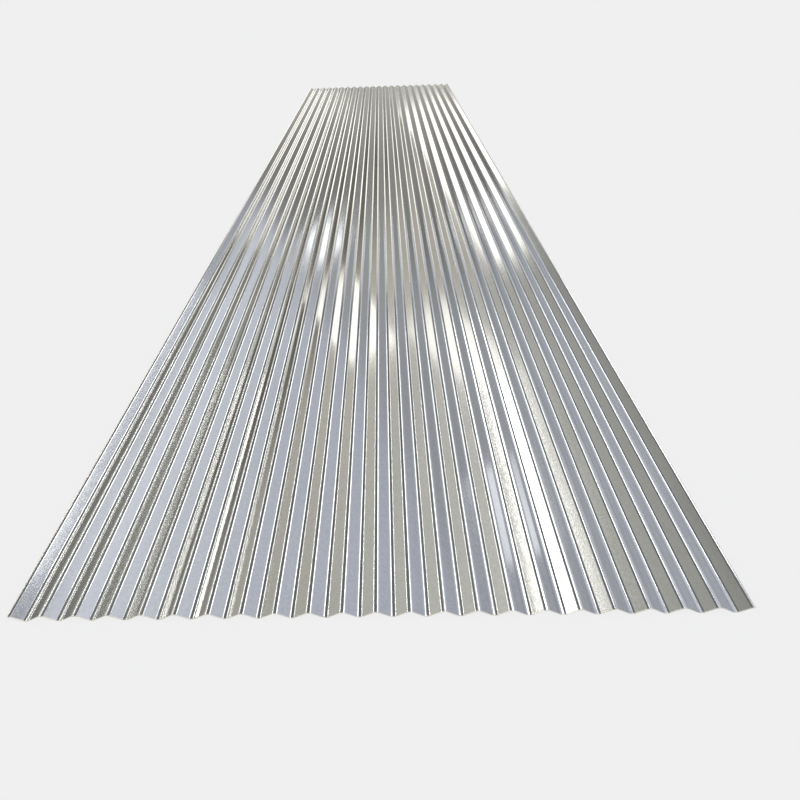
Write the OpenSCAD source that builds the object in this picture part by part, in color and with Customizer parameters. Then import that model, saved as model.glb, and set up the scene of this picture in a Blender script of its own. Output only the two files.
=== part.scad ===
// Profiled metal sheet: coated steel strip rolled into shallow waves that run along its length.
// The sheet lies flat, with its waves along Y and the underside of its valleys on Z = 0.

/* [Sheet] */
// Length of the sheet along its waves
sheet_length = 4000; // [500:50:8000]
// Thickness of the coated strip
sheet_gauge = 0.5; // [0.3:0.05:1]
// Whole waves from one long edge to the other, both edges ending on a crest
wave_count = 22; // [4:1:30]

/* [Wave] */
// Distance from one crest to the next
wave_pitch = 41; // [38:0.5:60]
// Rise from a valley to a crest, measured on one face
wave_depth = 9; // [6:0.1:10]
// Width of the flat that runs along each crest and each valley
rolled_flat = 1; // [1:0.5:4]
// Radius of each rolled bend, at mid thickness
bend_radius = 7.5; // [3:0.1:8]

/* [Smoothness] */
// Steps that each bend is drawn in
bend_steps = 6; // [3:1:12]

/* [Hidden] */

coated_steel = [0.72, 0.73, 0.74];
half_wave = wave_pitch / 2;

// A straight flank touches the bend at its top and the bend at its foot, and both have the same
// radius. Its slope follows from the run and the rise that are left between the two bends' centres.
flank_run = half_wave - rolled_flat;
flank_rise = wave_depth - 2 * bend_radius;
flank_angle = atan2(flank_rise, flank_run) + asin(2 * bend_radius / norm([flank_run, flank_rise]));

// Turns of the strip at the steps of one bend, from level to the slope of the flank
bend_turns = [for (i = [0:bend_steps]) flank_angle * i / bend_steps];

// Stations are [across, height, slope] on the strip's middle surface.
// The bend beside a crest, going downhill
function crest_bend() =
    [for (turn = bend_turns) [
        rolled_flat / 2 + bend_radius * sin(turn),
        wave_depth - bend_radius * (1 - cos(turn)),
        -turn
    ]];

// The bend that ends the flank and levels out in the valley
function valley_bend() =
    [for (i = [bend_steps:-1:0]) [
        half_wave - rolled_flat / 2 - bend_radius * sin(bend_turns[i]),
        bend_radius * (1 - cos(bend_turns[i])),
        -bend_turns[i]
    ]];

// One downhill flank with its bends, and the uphill flank that mirrors it in the valley
function fall() = concat(crest_bend(), valley_bend());
function climb() =
    let (down = fall(), last = len(down) - 1)
    [for (i = [last:-1:0]) [wave_pitch - down[i][0], down[i][1], -down[i][2]]];

// The whole middle surface from the left edge to the right edge, each on the middle of a crest
function strip_stations() =
    let (one_wave = concat(fall(), climb()))
    concat(
        [[0, wave_depth, 0]],
        [for (k = [0:wave_count - 1]) for (s = one_wave) [k * wave_pitch + s[0], s[1], s[2]]],
        [[wave_count * wave_pitch, wave_depth, 0]]
    );

// The face that lies a signed distance from the middle surface, square to the strip
function strip_face(offset_out) =
    [for (s = strip_stations()) [
        s[0] - offset_out * sin(s[2]),
        s[1] + offset_out * cos(s[2])
    ]];

function backwards(points) = [for (i = [len(points) - 1:-1:0]) points[i]];

module wave_section() {
    upper = strip_face(sheet_gauge / 2);
    lower = strip_face(-sheet_gauge / 2);
    polygon(concat(upper, backwards(lower)));
}

module profiled_sheet() {
    color(coated_steel)
        translate([-wave_count * wave_pitch / 2, sheet_length / 2, sheet_gauge / 2])
            rotate([90, 0, 0])
                linear_extrude(height = sheet_length)
                    wave_section();
}

profiled_sheet();
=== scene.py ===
"""A profiled metal sheet lying flat in a pale studio: the strip, its coating, the light and the camera."""

import math

import bpy
import numpy as np
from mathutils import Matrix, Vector


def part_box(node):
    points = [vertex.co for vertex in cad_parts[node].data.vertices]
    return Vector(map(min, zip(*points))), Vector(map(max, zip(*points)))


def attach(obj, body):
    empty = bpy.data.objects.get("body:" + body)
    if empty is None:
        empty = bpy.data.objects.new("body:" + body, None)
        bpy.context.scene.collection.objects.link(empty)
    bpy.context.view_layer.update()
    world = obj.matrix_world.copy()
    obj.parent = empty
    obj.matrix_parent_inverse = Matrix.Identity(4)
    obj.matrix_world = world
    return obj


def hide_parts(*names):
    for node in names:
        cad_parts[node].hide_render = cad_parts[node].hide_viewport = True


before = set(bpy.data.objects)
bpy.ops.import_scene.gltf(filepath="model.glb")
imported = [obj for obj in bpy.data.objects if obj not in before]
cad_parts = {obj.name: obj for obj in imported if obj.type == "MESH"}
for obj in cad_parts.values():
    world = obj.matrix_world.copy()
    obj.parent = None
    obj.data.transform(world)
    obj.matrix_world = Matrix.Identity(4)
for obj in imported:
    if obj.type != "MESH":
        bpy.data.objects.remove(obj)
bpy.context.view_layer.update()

# Sizes of the sheet, in metres
NODE = "profiled_sheet"
WAVE_COUNT = 22
ROLLED_FLAT = 0.001
BEND_RADIUS = 0.0075
GAUGE = 0.0005
SHEET_LOW, SHEET_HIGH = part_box(NODE)
SHEET_WIDTH = SHEET_HIGH.x - SHEET_LOW.x
SHEET_LENGTH = SHEET_HIGH.y - SHEET_LOW.y
WAVE_PITCH = SHEET_WIDTH / WAVE_COUNT
HALF_WAVE = WAVE_PITCH / 2
WAVE_DEPTH = SHEET_HIGH.z - SHEET_LOW.z - GAUGE

# How finely the mesh is drawn
BEND_STEPS = 5
FLANK_STEPS = 2
LENGTH_STEPS = 80

# The slope of a straight flank, which touches the bends at its top and at its foot
FLANK_RUN = HALF_WAVE - ROLLED_FLAT
FLANK_RISE = WAVE_DEPTH - 2 * BEND_RADIUS
FLANK_ANGLE = math.atan2(FLANK_RISE, FLANK_RUN) + math.asin(
    2 * BEND_RADIUS / math.hypot(FLANK_RUN, FLANK_RISE)
)

# Uneven rolling: crests dip and valleys lift by up to this much, in slow swells of these wavelengths
ROLLING_DIP = 0.00016
SWELL_LENGTHS = (0.42, 0.71, 1.30, 2.60)
SWELL_SEED = 7

# Material slots of the sheet
COATED, CUT = 0, 1


# The rolled section

def falling_flank():
    """Stations (across, height, slope) on the strip's middle surface, from a crest down to a valley."""
    turns = np.linspace(0, FLANK_ANGLE, BEND_STEPS + 1)
    across = ROLLED_FLAT / 2 + BEND_RADIUS * np.sin(turns)
    drop = BEND_RADIUS * (1 - np.cos(turns))
    top = np.stack([across, WAVE_DEPTH - drop, -turns], axis=1)
    foot = np.stack([HALF_WAVE - across, drop, -turns], axis=1)[::-1]
    shares = np.linspace(0, 1, FLANK_STEPS + 1)[1:-1, None]
    straight = top[-1] + (foot[0] - top[-1]) * shares
    return np.concatenate([top, straight, foot])


def strip_stations():
    """Stations of the whole strip, from the left edge to the right edge, each on the middle of a crest."""
    fall = falling_flank()
    climb = fall[::-1] * (-1, 1, -1) + (WAVE_PITCH, 0, 0)
    wave = np.concatenate([fall, climb])
    waves = [wave + (k * WAVE_PITCH, 0, 0) for k in range(WAVE_COUNT)]
    left = [[0, WAVE_DEPTH, 0]]
    right = [[WAVE_COUNT * WAVE_PITCH, WAVE_DEPTH, 0]]
    return np.concatenate([left, *waves, right]) + (SHEET_LOW.x, SHEET_LOW.z + GAUGE / 2, 0)


def rolling_swell(across, along):
    """Small inward moves of the surface over the grid of stations, in metres: crests dip and valleys lift."""
    rng = np.random.default_rng(SWELL_SEED)
    bend_count = 2 * WAVE_COUNT + 1
    swell = np.zeros((len(along), bend_count))
    for length in SWELL_LENGTHS:
        phase = rng.uniform(0, 2 * math.pi, bend_count)
        swell += np.sin(2 * math.pi * along[:, None] / length + phase)
    share = 0.5 + 0.5 * swell / len(SWELL_LENGTHS)
    inward = np.where(np.arange(bend_count) % 2 == 0, -1, 1)
    moves = ROLLING_DIP * share * inward
    place = (across - SHEET_LOW.x) / HALF_WAVE
    before = np.clip(np.floor(place).astype(int), 0, bend_count - 2)
    part = place - before
    ease = part * part * (3 - 2 * part)
    return moves[:, before] * (1 - ease) + moves[:, before + 1] * ease


def face_grid(stations, along, swell, side):
    """Points and normals of one face of the strip. The side is 1 for the upper face and -1 for the lower."""
    across, height, slope = stations.T
    points = np.empty((len(along), len(stations), 3))
    points[:, :, 0] = across - side * GAUGE / 2 * np.sin(slope)
    points[:, :, 1] = along[:, None]
    points[:, :, 2] = height + side * GAUGE / 2 * np.cos(slope) + swell
    normals = np.empty_like(points)
    normals[:, :, 0] = -side * (np.tan(slope) + np.gradient(swell, across, axis=1))
    normals[:, :, 1] = -side * np.gradient(swell, along, axis=0)
    normals[:, :, 2] = side
    return points, normals / np.linalg.norm(normals, axis=2, keepdims=True)


def grid_faces(rows, columns, first, flip):
    """Quads of a grid of vertices, numbered from first, row by row."""
    r, c = np.meshgrid(np.arange(rows - 1), np.arange(columns - 1), indexing="ij")
    a = first + r * columns + c
    corners = [a, a + 1, a + columns + 1, a + columns]
    if flip:
        corners.reverse()
    return np.stack(corners, axis=-1).reshape(-1, 4)


def build_sheet():
    """The sheet: both faces, two cut ends and two long edges, whose own vertices keep the corners sharp."""
    stations = strip_stations()
    along = np.linspace(SHEET_LOW.y, SHEET_HIGH.y, LENGTH_STEPS + 1)
    swell = rolling_swell(stations[:, 0], along)
    upper, upper_normals = face_grid(stations, along, swell, 1)
    lower, lower_normals = face_grid(stations, along, swell, -1)
    grids = [(upper, upper_normals, False, COATED), (lower, lower_normals, True, COATED)]
    borders = (
        (upper[0], lower[0], (0, -1, 0)),
        (lower[-1], upper[-1], (0, 1, 0)),
        (lower[:, 0], upper[:, 0], (-1, 0, 0)),
        (upper[:, -1], lower[:, -1], (1, 0, 0)),
    )
    for start, end, outward in borders:
        border = np.stack([start, end])
        grids.append((border, np.broadcast_to(outward, border.shape), True, CUT))

    points, normals, faces, slots = [], [], [], []
    first = 0
    for grid, grid_normals, flip, slot in grids:
        rows, columns = grid.shape[:2]
        quads = grid_faces(rows, columns, first, flip)
        points.append(grid.reshape(-1, 3))
        normals.append(grid_normals.reshape(-1, 3))
        faces.append(quads)
        slots.append(np.full(len(quads), slot, np.int32))
        first += rows * columns

    mesh = bpy.data.meshes.new("rolled_sheet")
    mesh.from_pydata(np.concatenate(points).tolist(), [], np.concatenate(faces).tolist())
    mesh.polygons.foreach_set("use_smooth", np.ones(len(mesh.polygons), bool))
    mesh.polygons.foreach_set("material_index", np.concatenate(slots))
    mesh.normals_split_custom_set_from_vertices(np.concatenate(normals).tolist())
    made = bpy.data.objects.new("rolled_sheet", mesh)
    bpy.context.scene.collection.objects.link(made)
    return made


# Materials

# Sockets of the colour form of the Mix node
MIX_A, MIX_B, MIX_RESULT = 6, 7, 2


def add_node(tree, kind, inputs, **settings):
    """A new shader node with its settings. Each input is linked to a socket or set to a value."""
    made = tree.nodes.new("ShaderNode" + kind)
    for name, value in settings.items():
        setattr(made, name, value)
    for socket, value in inputs.items():
        if isinstance(value, bpy.types.NodeSocket):
            tree.links.new(value, made.inputs[socket])
        else:
            made.inputs[socket].default_value = value
    return made


def math_node(tree, operation, *values):
    return add_node(tree, "Math", dict(enumerate(values)), operation=operation).outputs[0]


def mix_colour(tree, share, a, b):
    inputs = {"Factor": share, MIX_A: a, MIX_B: b}
    return add_node(tree, "Mix", inputs, data_type="RGBA").outputs[MIX_RESULT]


def map_range(tree, value, from_range, to_range, curve="LINEAR"):
    inputs = {"Value": value}
    inputs["From Min"], inputs["From Max"] = from_range
    inputs["To Min"], inputs["To Max"] = to_range
    return add_node(tree, "MapRange", inputs, interpolation_type=curve).outputs["Result"]


def object_place(tree):
    """The place on the object, in metres."""
    return tree.nodes.new("ShaderNodeTexCoord").outputs["Object"]


def noise(tree, place, scale, stretch, detail):
    """Noise from 0 to 1, with a number of grains per metre, stretched along X, Y and Z."""
    moved = add_node(tree, "Mapping", {"Vector": place, "Scale": stretch}).outputs["Vector"]
    inputs = {"Vector": moved, "Scale": scale, "Detail": detail}
    return add_node(tree, "TexNoise", inputs).outputs["Fac"]


def new_material(name):
    """A material with nodes, its tree and its shader."""
    material = bpy.data.materials.new(name)
    material.use_nodes = True
    tree = material.node_tree
    return material, tree, tree.nodes["Principled BSDF"]


# The zinc: its colours, its colour at a grazing angle, and the tones between which it changes
ZINC_DIM = (0.62, 0.625, 0.63, 1)
ZINC_BRIGHT = (0.72, 0.725, 0.73, 1)
ZINC_TONES = (0.3, 0.7)
GRAZING_TINT = (0.85, 0.85, 0.85, 1)
# Its crystals, rolling lines and smudges: how many to the metre, how they stretch, and how fine they are
SPANGLE_PER_M = 330.0
ROLL_LINES_PER_M = 620.0
ROLL_LINE_STRETCH = (1, 0.004, 1)
ROLL_LINE_DETAIL = 3
SMUDGES_PER_M = 5.0
SMUDGE_STRETCH = (1, 0.35, 1)
SMUDGE_DETAIL = 5
# Share of the lines in the grain, where the rest is crystals, and of the smudges in the tone
LINE_SHARE = 0.5
SMUDGE_SHARE = 0.6
# Its roughness, by tone, and the strength and depth of its grain
COAT_ROUGHNESS_TONES = (0.25, 0.75)
COAT_ROUGHNESS = (0.085, 0.13)
GRAIN_STRENGTH = 0.05
GRAIN_DEPTH = 0.0002
# The band at the cut edges: partly real burnish with a straw tint, partly a painted highlight that lightens
# the zinc where the edge glints
BURNISH_AND_HIGHLIGHT_BAND = 0.0014
BURNISH_AND_HIGHLIGHT_COLOUR = (0.88, 0.84, 0.76, 1)
BURNISH_ROUGHNESS = 0.25
HALF_LENGTH = SHEET_LENGTH / 2
HALF_WIDTH = SHEET_WIDTH / 2


def coating_material():
    """Bright zinc: fine crystals, rolling lines, faint smudges and a band at the cut edges, partly burnish
    and partly a painted highlight.
    """
    material, tree, shader = new_material("zinc_coating")
    shader.inputs["Metallic"].default_value = 1.0
    shader.inputs["Specular Tint"].default_value = GRAZING_TINT
    place = object_place(tree)

    cells = add_node(tree, "TexVoronoi", {"Vector": place, "Scale": SPANGLE_PER_M}).outputs["Color"]
    crystal = add_node(tree, "SeparateColor", {"Color": cells}).outputs["Red"]
    lines = noise(tree, place, ROLL_LINES_PER_M, ROLL_LINE_STRETCH, ROLL_LINE_DETAIL)
    smudge = noise(tree, place, SMUDGES_PER_M, SMUDGE_STRETCH, SMUDGE_DETAIL)

    crystal_part = math_node(tree, "MULTIPLY", crystal, 1 - LINE_SHARE)
    grain = math_node(tree, "MULTIPLY_ADD", lines, LINE_SHARE, crystal_part)
    grain_part = math_node(tree, "MULTIPLY", grain, 1 - SMUDGE_SHARE)
    tone = math_node(tree, "MULTIPLY_ADD", smudge, SMUDGE_SHARE, grain_part)
    zinc = mix_colour(tree, map_range(tree, tone, ZINC_TONES, (0, 1)), ZINC_DIM, ZINC_BRIGHT)

    parts = add_node(tree, "SeparateXYZ", {"Vector": place}).outputs
    to_end = math_node(tree, "SUBTRACT", HALF_LENGTH, math_node(tree, "ABSOLUTE", parts["Y"]))
    to_side = math_node(tree, "SUBTRACT", HALF_WIDTH, math_node(tree, "ABSOLUTE", parts["X"]))
    to_cut = math_node(tree, "MINIMUM", to_end, to_side)
    # Lighter, warmer band near the cut edges: partly real burnish and straw tint, partly a painted highlight
    # standing in for the edge glint
    burnish_and_highlight = map_range(tree, to_cut, (BURNISH_AND_HIGHLIGHT_BAND / 2, BURNISH_AND_HIGHLIGHT_BAND), (1, 0), "SMOOTHSTEP")
    colour = mix_colour(tree, burnish_and_highlight, zinc, BURNISH_AND_HIGHLIGHT_COLOUR)
    tree.links.new(colour, shader.inputs["Base Color"])

    coat_roughness = map_range(tree, tone, COAT_ROUGHNESS_TONES, COAT_ROUGHNESS)
    roughness = math_node(tree, "MULTIPLY_ADD", burnish_and_highlight, BURNISH_ROUGHNESS, coat_roughness)
    tree.links.new(roughness, shader.inputs["Roughness"])
    bump = add_node(tree, "Bump", {"Height": grain, "Strength": GRAIN_STRENGTH, "Distance": GRAIN_DEPTH})
    tree.links.new(bump.outputs["Normal"], shader.inputs["Normal"])
    return material


# The sheared edges: steel with straw-coloured patches, and the tones between which they change
EDGE_STEEL = (0.68, 0.67, 0.65, 1)
EDGE_STRAW = (0.60, 0.50, 0.38, 1)
EDGE_STRAW_TONES = (0.4, 0.65)
EDGE_PATCHES_PER_M = 60.0
EDGE_PATCH_STRETCH = (1, 1, 1)
EDGE_PATCH_DETAIL = 4
EDGE_ROUGHNESS_TONES = (0.3, 0.7)
EDGE_ROUGHNESS = (0.32, 0.48)


def cut_edge_material():
    """Sheared steel at the cut ends and the long edges, straw-coloured in places."""
    material, tree, shader = new_material("sheared_edge")
    shader.inputs["Metallic"].default_value = 1.0
    patches = noise(tree, object_place(tree), EDGE_PATCHES_PER_M, EDGE_PATCH_STRETCH, EDGE_PATCH_DETAIL)
    colour = mix_colour(tree, map_range(tree, patches, EDGE_STRAW_TONES, (0, 1)), EDGE_STEEL, EDGE_STRAW)
    tree.links.new(colour, shader.inputs["Base Color"])
    roughness = map_range(tree, patches, EDGE_ROUGHNESS_TONES, EDGE_ROUGHNESS)
    tree.links.new(roughness, shader.inputs["Roughness"])
    return material


# Studio

FLOOR_SIZE = 160.0
FLOOR_COLOUR = (0.92, 0.92, 0.92, 1)
FLOOR_ROUGHNESS = 0.9
FLOOR_GLOW = 0.75
WHITE = (1, 1, 1, 1)


def floor_material():
    """Pale floor that shows near white to the camera and in the metal, and keeps the shadow."""
    material, tree, shader = new_material("studio_floor")
    shader.inputs["Base Color"].default_value = FLOOR_COLOUR
    shader.inputs["Roughness"].default_value = FLOOR_ROUGHNESS
    shader.inputs["Specular IOR Level"].default_value = 0.0
    path = tree.nodes.new("ShaderNodeLightPath").outputs
    seen = math_node(tree, "MAXIMUM", path["Is Camera Ray"], path["Is Glossy Ray"])
    seen = math_node(tree, "MAXIMUM", seen, path["Is Transmission Ray"])
    glow = add_node(tree, "Emission", {"Color": WHITE, "Strength": 1.0}).outputs["Emission"]
    share = math_node(tree, "MULTIPLY", seen, FLOOR_GLOW)
    mixed = add_node(tree, "MixShader", {0: share, 1: shader.outputs["BSDF"], 2: glow}).outputs["Shader"]
    tree.links.new(mixed, tree.nodes["Material Output"].inputs["Surface"])
    return material


def build_floor():
    bpy.ops.mesh.primitive_plane_add(size=FLOOR_SIZE)
    floor = bpy.context.object
    floor.name = "studio_floor"
    floor.data.materials.append(floor_material())


WARM = (1.0, 0.98, 0.92)
COOL = (0.96, 0.98, 1.0)
DOWN = (0, 0, -1)
BACK = (0, -1, 0)
TO_SHEET = (-8.8, -8.4, -2.4)

# Soft boxes: name, middle in metres, where the face looks, turn about that line in degrees,
# width and height in metres, radiance and colour
SOFT_BOXES = (
    ("overhead_right", (4.9, 18.7, 16), DOWN, 0, (1.85, 19.8), 5, COOL),
    ("strip_left", (-6.89, 8.5, 8), DOWN, 0, (0.38, 10), 10, WARM),
    ("overhead_left", (-6.1, 8.5, 8), DOWN, 0, (0.75, 10), 0.5, WARM),
    ("ahead_left", (-2.1, 13, 3.55), BACK, -27, (1.08, 4.4), 1.7, WARM),
    ("ahead", (-1.05, 13, 3.2), BACK, 0, (1.2, 2.2), 1.8, WARM),
    ("ahead_top", (-0.5, 13, 5.6), BACK, 0, (2.0, 2.4), 0.8, WARM),
    ("far_left", (-7.1, 13, 3.0), BACK, -30, (1.6, 2.5), 1.6, WARM),
    ("tall_left", (-6.2, 13, 6.0), BACK, -14, (1.6, 3.0), 0.95, WARM),
    ("ahead_right", (3.6, 13, 3.9), BACK, 0, (0.9, 1.0), 1.7, COOL),
    ("far_right", (8.8, 6.4, 2.4), TO_SHEET, 0, (2.0, 1.0), 0.8, COOL),
)


def add_soft_box(name, middle, facing, turn, size, radiance, colour):
    """A soft box that the metal mirrors, and that neither the camera nor the floor sees."""
    light = bpy.data.lights.new(name, "AREA")
    light.shape = "RECTANGLE"
    light.size, light.size_y = size
    light.energy = radiance * math.pi * light.size * light.size_y
    light.color = colour
    lamp = bpy.data.objects.new(name, light)
    lamp.location = middle
    lamp.rotation_euler = Vector(facing).to_track_quat("-Z", "Y").to_euler()
    lamp.rotation_euler.rotate_axis("Z", math.radians(turn))
    lamp.visible_camera = False
    lamp.visible_diffuse = False
    bpy.context.scene.collection.objects.link(lamp)


# Surroundings behind the camera, straight back and to either side
BEHIND = (0.64, 0.64, 0.63)
BEHIND_LEFT = (0.48, 0.475, 0.45)
BEHIND_RIGHT = (0.80, 0.81, 0.83)
# Surroundings near the horizon and above it, by heading in degrees: 0 is ahead and 90 is to the right
LOW_SURROUNDINGS = (
    (-180, BEHIND),
    (-165, BEHIND_LEFT),
    (-90, (0.62, 0.615, 0.59)),
    (-45, (0.13, 0.125, 0.11)),
    (-30, (0.11, 0.105, 0.09)),
    (-12, (0.155, 0.15, 0.125)),
    (-4, (0.68, 0.67, 0.61)),
    (4, (0.68, 0.67, 0.61)),
    (10, (0.42, 0.41, 0.375)),
    (20, (0.21, 0.205, 0.195)),
    (27, (0.40, 0.405, 0.415)),
    (165, BEHIND_RIGHT),
    (180, BEHIND),
)
MIDDLE_SURROUNDINGS = (
    (-180, BEHIND),
    (-165, BEHIND_LEFT),
    (-60, (0.51, 0.50, 0.45)),
    (-30, (0.65, 0.63, 0.555)),
    (-14, (0.58, 0.56, 0.49)),
    (-4, (0.62, 0.605, 0.55)),
    (4, (0.62, 0.605, 0.55)),
    (7, (0.26, 0.255, 0.245)),
    (13, (0.26, 0.255, 0.245)),
    (16, (0.46, 0.46, 0.465)),
    (30, (0.41, 0.42, 0.435)),
    (42, (0.40, 0.41, 0.44)),
    (55, (0.46, 0.475, 0.525)),
    (165, BEHIND_RIGHT),
    (180, BEHIND),
)
# Surroundings high up along the sheet, by the lean from overhead in degrees, negative to the left
HIGH_SURROUNDINGS = (
    (-90, (0.40, 0.40, 0.36)),
    (-72, (0.52, 0.515, 0.48)),
    (-48, (0.68, 0.67, 0.62)),
    (-33, (0.50, 0.495, 0.46)),
    (-27, (0.42, 0.415, 0.39)),
    (-20, (0.17, 0.17, 0.17)),
    (2, (0.17, 0.17, 0.17)),
    (7, (0.62, 0.63, 0.67)),
    (19.5, (0.80, 0.83, 0.90)),
    (21.5, (0.40, 0.415, 0.45)),
    (24, (0.44, 0.455, 0.495)),
    (27, (0.88, 0.91, 0.99)),
    (33, (0.76, 0.79, 0.865)),
    (42, (0.64, 0.665, 0.74)),
    (60, (0.53, 0.555, 0.63)),
    (90, (0.355, 0.37, 0.42)),
)
# Surroundings high up at the sheet's sides, by the same lean
SIDE_SURROUNDINGS = (
    (-90, (0.80, 0.79, 0.74)),
    (-60, (0.95, 0.94, 0.88)),
    (-20, (0.34, 0.335, 0.32)),
    (20, (0.34, 0.345, 0.36)),
    (60, (0.93, 0.95, 1.0)),
    (90, (0.80, 0.81, 0.84)),
)
# Upward parts of a direction between which the surroundings change
LOW_TO_MIDDLE = (0.12, 0.19)
MIDDLE_TO_HIGH = (0.29, 0.34)
# Parts of a direction along the sheet between which the surroundings high up change
SIDE_TO_AHEAD = (0.25, 0.45)


def angle_ramp(tree, angle, stops):
    """Colours by an angle: each stop is an angle in degrees and its colour, in rising order."""
    ends = (math.radians(stops[0][0]), math.radians(stops[-1][0]))
    made = add_node(tree, "ValToRGB", {"Fac": map_range(tree, angle, ends, (0, 1))})
    elements = made.color_ramp.elements
    elements[0].color = (*stops[0][1], 1)
    elements[1].color = (*stops[-1][1], 1)
    for degrees, colour in stops[1:-1]:
        elements.new((math.radians(degrees) - ends[0]) / (ends[1] - ends[0])).color = (*colour, 1)
    return made.outputs["Color"]


def change_over(tree, value, limits, before, after):
    """One colour that changes softly to another as a value passes from one limit to the next."""
    return mix_colour(tree, map_range(tree, value, limits, (0, 1), "SMOOTHSTEP"), before, after)


def build_world():
    """Soft surroundings: warm on the left, cool on the right, with a dim gap overhead."""
    world = bpy.data.worlds.new("studio_world")
    bpy.context.scene.world = world
    world.use_nodes = True
    tree = world.node_tree
    direction = tree.nodes.new("ShaderNodeTexCoord").outputs["Generated"]
    parts = add_node(tree, "SeparateXYZ", {"Vector": direction}).outputs
    lean = math_node(tree, "ARCTAN2", parts["X"], parts["Z"])
    heading = math_node(tree, "ARCTAN2", parts["X"], parts["Y"])
    low = angle_ramp(tree, heading, LOW_SURROUNDINGS)
    middle = angle_ramp(tree, heading, MIDDLE_SURROUNDINGS)
    side = angle_ramp(tree, lean, SIDE_SURROUNDINGS)
    ahead = angle_ramp(tree, lean, HIGH_SURROUNDINGS)
    high = change_over(tree, math_node(tree, "ABSOLUTE", parts["Y"]), SIDE_TO_AHEAD, side, ahead)
    lower = change_over(tree, parts["Z"], LOW_TO_MIDDLE, low, middle)
    whole = change_over(tree, parts["Z"], MIDDLE_TO_HIGH, lower, high)
    tree.links.new(whole, tree.nodes["Background"].inputs["Color"])


# Camera: its place, its turn to the left, its tilt down and its roll to the right match the photograph
CAMERA_PLACE = (0.020, -2.437, 0.638)
CAMERA_TURN_DEG = 1.55
CAMERA_TILT_DEG = 35.68
CAMERA_ROLL_DEG = 2.07
CAMERA_LENS_MM = 27.0
CAMERA_SENSOR_MM = 36.0
CAMERA_SHIFT = 0.031
CAMERA_NEAR = 0.01
CAMERA_FAR = 500.0


def build_camera():
    data = bpy.data.cameras.new("camera")
    data.lens = CAMERA_LENS_MM
    data.sensor_width = CAMERA_SENSOR_MM
    data.shift_x = CAMERA_SHIFT
    data.clip_start = CAMERA_NEAR
    data.clip_end = CAMERA_FAR
    camera = bpy.data.objects.new("camera", data)
    camera.location = CAMERA_PLACE
    camera.rotation_euler = (math.radians(90 - CAMERA_TILT_DEG), 0, math.radians(CAMERA_TURN_DEG))
    camera.rotation_euler.rotate_axis("Z", -math.radians(CAMERA_ROLL_DEG))
    bpy.context.scene.collection.objects.link(camera)
    bpy.context.scene.camera = camera


# The sheet in its studio

sheet = build_sheet()
sheet.data.materials.append(coating_material())
sheet.data.materials.append(cut_edge_material())
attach(sheet, "root")
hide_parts(NODE)

build_floor()
for soft_box in SOFT_BOXES:
    add_soft_box(*soft_box)
build_world()
build_camera()
bpy.context.scene.view_settings.view_transform = "Standard"
